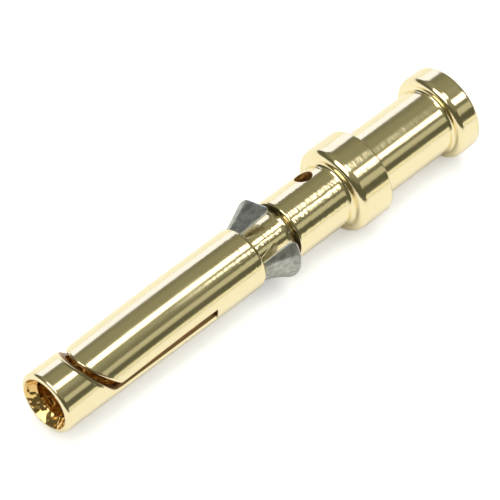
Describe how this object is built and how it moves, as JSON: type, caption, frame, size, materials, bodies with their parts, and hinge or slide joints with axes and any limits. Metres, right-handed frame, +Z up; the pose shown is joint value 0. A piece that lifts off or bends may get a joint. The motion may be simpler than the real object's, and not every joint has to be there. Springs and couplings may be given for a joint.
{
  "type": "crimp socket contact",
  "caption": "Gold-plated female crimp contact: slotted socket tube with a spring tongue, flared steel retention clip, collar and flanged crimp barrel.",
  "frame": {"origin": "on the contact's axis, in the plane of the socket's mouth", "axes": "+X along the axis from the socket's mouth to the wire end, +Z up with the contact lying on its side as it comes to rest, the spring tongue's crown 11 degrees from the top towards +Y"},
  "size_m": [0.0216, 0.0036, 0.0036],
  "materials": {
    "gold_plating": "polished gold plating over turned copper alloy",
    "spring_steel": "satin stainless spring sheet"
  },
  "bodies": {
    "root": {"contact_body": "gold_plating", "retention_clip": "spring_steel"}
  },
  "joints": []
}
